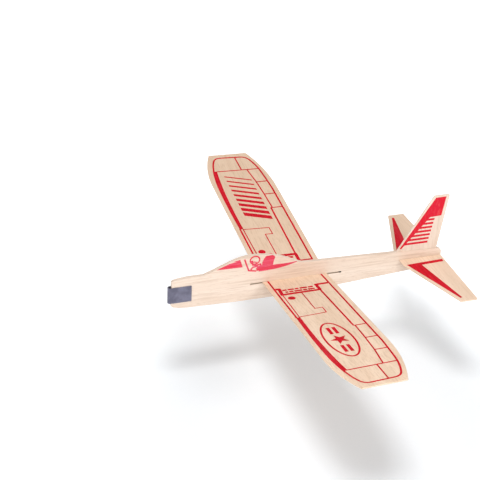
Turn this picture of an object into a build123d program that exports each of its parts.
"""Balsa hand glider: five flat, separate pieces that slot together.

Millimetres. +X points to the nose, +Y to port (the pilot's left) and +Z up. The
origin is under the middle of the glider's length, in its plane of symmetry, at the
height of the keel's flat.
"""

import os
from math import cos, radians, sin

from build123d import *

# ---- driving dimensions -------------------------------------------------------------
overall_length = 199.0  # bend of the nose weight to the rear tip of the fin
wing_span = 305.0  # 12 in, tip to tip

nose_x = overall_length / 2
fin_tip_rear_x = -overall_length / 2
tail_x = -98.0  # end of the fuselage

# fuselage: one die-cut plank, drawn from the side
fuselage_thickness = 2.4
wood_nose_x = nose_x - 2.0  # the wood stops short of the weight's bend
nose_top_z = 22.0
front_deck_z = 24.0
rear_deck_front = (6.0, 24.0)  # just behind the canopy
rear_deck_tail_z = 20.5
canopy_front_x = 75.0
canopy_brow = (50.5, 33.4)  # where the windscreen's slope rounds into the roof
canopy_top = (42.0, 34.4)
keel_front_x = 52.0  # the flat underside that the glider rests on
keel_rear_x = 10.0
chin_z = 5.0
tail_bottom_z = 7.6
corner_radius = 3.0

# wing: one thin sheet, creased along the centreline
sheet_thickness = 0.8
wing_dihedral = 7.4  # degrees, each panel
wing_front_x = 33.6  # leading edge at the root, with the wing trimmed mid-slot
wing_chord = 46.0
wing_chord_swell = 1.0  # the leading edge drifts forward along the straight stretch
wing_straight_front = 115.0  # where the leading edge starts to curve in
wing_straight_rear = 105.0
wing_tip_front_sweep = 7.2  # how far the tip's corners lie behind the root's front
wing_tip_rear_sweep = 36.6
wing_tip_rear_inset = 1.2  # the tip's rear corner lies a little inboard

# slots
slot_clearance = 0.05  # each side of a sheet that slides in it
wing_slot_z = 12.2
wing_slot_front_x = 42.5
wing_slot_rear_x = -23.3
stabilizer_z = 14.6
fin_tab_depth = 4.4

# stabilizer: swept sheet, slid in from the tail
stabilizer_span = 120.0
stabilizer_root_front_x = -66.7
stabilizer_root_half_width = 8.0  # the leading edge runs straight across here
stabilizer_root_rear_x = tail_x  # flush with the end of the fuselage
stabilizer_tip_front_x = -84.8
stabilizer_tip_rear_x = -97.0

# fin: swept sheet, pressed down into a slit in the rear deck
fin_root_front_x = -63.8
fin_root_rear_x = -94.2
fin_tip_front_x = -88.0
fin_top_z = 62.3

# nose weight: steel strip folded round the nose
weight_sheet = 0.5
weight_clearance = 0.05
weight_bottom_z = 5.9
weight_height = 11.8
weight_rear_x = 83.4
weight_corner_radius = 0.4

# ---- derived sizes ------------------------------------------------------------------
half_thickness = fuselage_thickness / 2
dihedral_rise = half_thickness * sin(radians(wing_dihedral))
wing_crease_z = wing_slot_z - dihedral_rise / 2
wing_rear_x = wing_front_x - wing_chord


def deck_z(x):
    """Height of the straight rear deck at x."""
    front_x, front_z = rear_deck_front
    return front_z + (rear_deck_tail_z - front_z) * (front_x - x) / (front_x - tail_x)


os.makedirs("parts", exist_ok=True)

# ---- fuselage -----------------------------------------------------------------------
wing_slot_height = sheet_thickness + dihedral_rise + 2 * slot_clearance
sheet_slot_height = sheet_thickness + 2 * slot_clearance
wing_slot_middle_x = (wing_slot_front_x + wing_slot_rear_x) / 2
wing_slot_length = wing_slot_front_x - wing_slot_rear_x
stabilizer_slot_length = stabilizer_root_front_x + 2 * slot_clearance - tail_x
fin_slit_length = fin_root_front_x - fin_root_rear_x + 2 * slot_clearance
fin_middle_x = (fin_root_front_x + fin_root_rear_x) / 2
fin_slit_bottom_z = deck_z(fin_root_rear_x) - fin_tab_depth - slot_clearance

with BuildPart() as fuselage:
    with BuildSketch(Plane.XZ) as side_view:
        with BuildLine() as outline:
            nose_line = Spline(
                (wood_nose_x - 0.7, nose_top_z),
                (wood_nose_x - 6.5, front_deck_z - 0.5),
                (wood_nose_x - 15.0, front_deck_z),
                tangents=((-0.6, 0.4), (-1, 0)),
            )
            deck_line = Line(nose_line @ 1, (canopy_front_x, front_deck_z))
            canopy_line = Spline(
                deck_line @ 1,
                (canopy_front_x - 15.0, 30.0),
                canopy_brow,
                canopy_top,
                (canopy_top[0] - 11.0, 33.2),
                (canopy_top[0] - 22.5, 30.2),
                rear_deck_front,
                tangents=((-1, 0.35), (-1, -0.35)),
            )
            Line(canopy_line @ 1, (tail_x, rear_deck_tail_z))
            Line((tail_x, rear_deck_tail_z), (tail_x, tail_bottom_z))
            Line((tail_x, tail_bottom_z), (keel_rear_x, 0))
            keel_line = Line((keel_rear_x, 0), (keel_front_x, 0))
            chin_line = Line(keel_line @ 1, (wood_nose_x - 14.0, 0.8))
            chin_curve = Spline(
                chin_line @ 1,
                (wood_nose_x - 3.2, 2.0),
                (wood_nose_x, chin_z),
                tangents=(chin_line % 1, (0, 1)),
            )
            Line(chin_curve @ 1, nose_line @ 0)
        make_face()
        tail_corners = side_view.vertices().filter_by_position(Axis.X, tail_x - 1, tail_x + 1)
        fillet(tail_corners, radius=corner_radius)
    extrude(amount=half_thickness, both=True)

    # the wing's slot goes right through; so does the stabilizer's, open at the tail
    with BuildSketch(Plane.XZ):
        with Locations((wing_slot_middle_x, wing_slot_z)):
            Rectangle(wing_slot_length, wing_slot_height)
        with Locations((tail_x, stabilizer_z)):
            Rectangle(2 * stabilizer_slot_length, sheet_slot_height)
    extrude(amount=fuselage_thickness, both=True, mode=Mode.SUBTRACT)

    # the fin's slit is cut down from the deck and closed at both ends
    with BuildSketch(Plane.XY.offset(fin_slit_bottom_z)):
        with Locations((fin_middle_x, 0)):
            Rectangle(fin_slit_length, sheet_slot_height)
    extrude(amount=front_deck_z, mode=Mode.SUBTRACT)

fuselage.part.label = "fuselage"
export_step(fuselage.part, "parts/fuselage.step")

# ---- wing ---------------------------------------------------------------------------
panel_length = wing_span / 2 / cos(radians(wing_dihedral))
panel_plane = Plane(
    origin=(0, 0, wing_crease_z),
    x_dir=(1, 0, 0),
    z_dir=(0, -sin(radians(wing_dihedral)), cos(radians(wing_dihedral))),
)

with BuildPart() as wing:
    with BuildSketch(panel_plane):
        with BuildLine():
            leading_edge = Line(
                (wing_front_x, -1),
                (wing_front_x + wing_chord_swell, wing_straight_front),
            )
            front_curve = TangentArc(
                leading_edge @ 1,
                (wing_front_x - wing_tip_front_sweep, panel_length),
                tangent=leading_edge % 1,
            )
            tip_edge = Line(
                front_curve @ 1,
                (wing_front_x - wing_tip_rear_sweep, panel_length - wing_tip_rear_inset),
            )
            trailing_edge = Line((wing_rear_x, -1), (wing_rear_x, wing_straight_rear))
            TangentArc(trailing_edge @ 1, tip_edge @ 1, tangent=trailing_edge % 1)
            Line(trailing_edge @ 0, leading_edge @ 0)
        make_face()
    extrude(amount=sheet_thickness / 2, both=True)
    # the two panels meet in a mitre at the crease
    split(bisect_by=Plane.XZ, keep=Keep.BOTTOM)
    mirror(about=Plane.XZ)

wing.part.label = "wing"
export_step(wing.part, "parts/wing.step")

# ---- stabilizer ---------------------------------------------------------------------
half_stabilizer = stabilizer_span / 2
tip_round = 0.8

with BuildPart() as stabilizer:
    with BuildSketch(Plane.XY.offset(stabilizer_z)) as planform:
        with BuildLine():
            Polyline(
                (stabilizer_root_front_x, 0),
                (stabilizer_root_front_x, stabilizer_root_half_width),
                (stabilizer_tip_front_x, half_stabilizer),
                (stabilizer_tip_rear_x, half_stabilizer),
                (stabilizer_root_rear_x, 0),
            )
            mirror(about=Plane.XZ)
        make_face()
        tips = planform.vertices().group_by(Axis.Y)
        fillet(tips[0] + tips[-1], radius=tip_round)
    extrude(amount=sheet_thickness / 2, both=True)

stabilizer.part.label = "stabilizer"
export_step(stabilizer.part, "parts/stabilizer.step")

# ---- fin ----------------------------------------------------------------------------
fin_tab_z = deck_z(fin_root_rear_x) - fin_tab_depth

with BuildPart() as fin:
    with BuildSketch(Plane.XZ) as fin_view:
        with BuildLine():
            Polyline(
                (fin_root_front_x, fin_tab_z),
                (fin_root_front_x, deck_z(fin_root_front_x)),
                (fin_tip_front_x, fin_top_z),
                (fin_tip_rear_x, fin_top_z),
                (fin_root_rear_x, deck_z(fin_root_rear_x)),
                (fin_root_rear_x, fin_tab_z),
                close=True,
            )
        make_face()
        fillet(fin_view.vertices().group_by(Axis.Y)[-1], radius=tip_round)
    extrude(amount=sheet_thickness / 2, both=True)

fin.part.label = "fin"
export_step(fin.part, "parts/fin.step")

# ---- nose weight --------------------------------------------------------------------
bend_inner_radius = half_thickness + weight_clearance
bend_outer_radius = bend_inner_radius + weight_sheet
bend_middle_x = nose_x - bend_outer_radius
leg_length = bend_middle_x - weight_rear_x

with BuildPart() as nose_weight:
    with BuildSketch(Plane.XY.offset(weight_bottom_z)):
        with BuildLine():
            outer_leg = Line((weight_rear_x, bend_outer_radius), (bend_middle_x, bend_outer_radius))
            outer_bend = TangentArc(
                outer_leg @ 1,
                (bend_middle_x, -bend_outer_radius),
                tangent=outer_leg % 1,
            )
            Line(outer_bend @ 1, (weight_rear_x, -bend_outer_radius))
            Line((weight_rear_x, -bend_outer_radius), (weight_rear_x, -bend_inner_radius))
            inner_leg = Line((weight_rear_x, -bend_inner_radius), (bend_middle_x, -bend_inner_radius))
            inner_bend = TangentArc(
                inner_leg @ 1,
                (bend_middle_x, bend_inner_radius),
                tangent=inner_leg % 1,
            )
            Line(inner_bend @ 1, (weight_rear_x, bend_inner_radius))
            Line((weight_rear_x, bend_inner_radius), (weight_rear_x, bend_outer_radius))
        make_face()
    extrude(amount=weight_height)
    leg_corners = nose_weight.edges().filter_by(Axis.Y).group_by(Axis.X)[0]
    fillet(leg_corners, radius=weight_corner_radius)

nose_weight.part.label = "nose_weight"
export_step(nose_weight.part, "parts/nose_weight.step")
